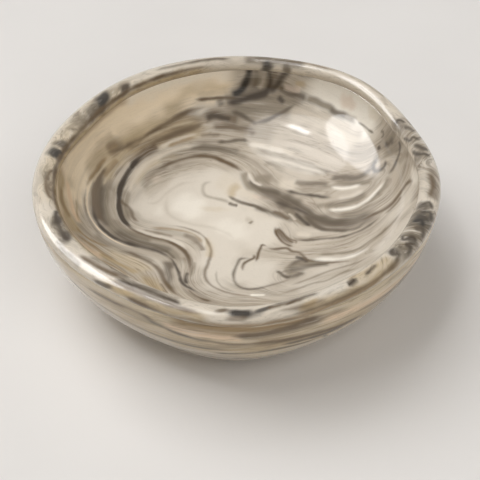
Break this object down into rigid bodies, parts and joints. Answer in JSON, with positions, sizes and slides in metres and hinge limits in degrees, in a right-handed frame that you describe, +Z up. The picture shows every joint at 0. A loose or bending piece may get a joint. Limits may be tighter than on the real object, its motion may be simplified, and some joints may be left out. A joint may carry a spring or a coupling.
{
  "type": "ring dish",
  "caption": "Round open ring dish in marbled clay: a hand-formed slab bowl with a flat foot, a rolled wavy rim and a clear gloss coat.",
  "frame": {"origin": "middle of the flat foot, on the table", "axes": "+Z up, out of the open bowl; -Y is the front, towards the picture's camera; +X to the right"},
  "size_m": [0.0999, 0.1004, 0.0315],
  "materials": {
    "marbled_slab": "marbled cream, tan and grey clay, smooth under the coat, bare at the foot",
    "marbled_coil": "marbled cream clay with near-black blotches, smooth under the coat",
    "clear_gloss": "clear high gloss coat"
  },
  "bodies": {
    "root": {"dish_body": "marbled_slab", "rim_coil": "marbled_coil", "clear_coat": "clear_gloss"}
  },
  "joints": []
}
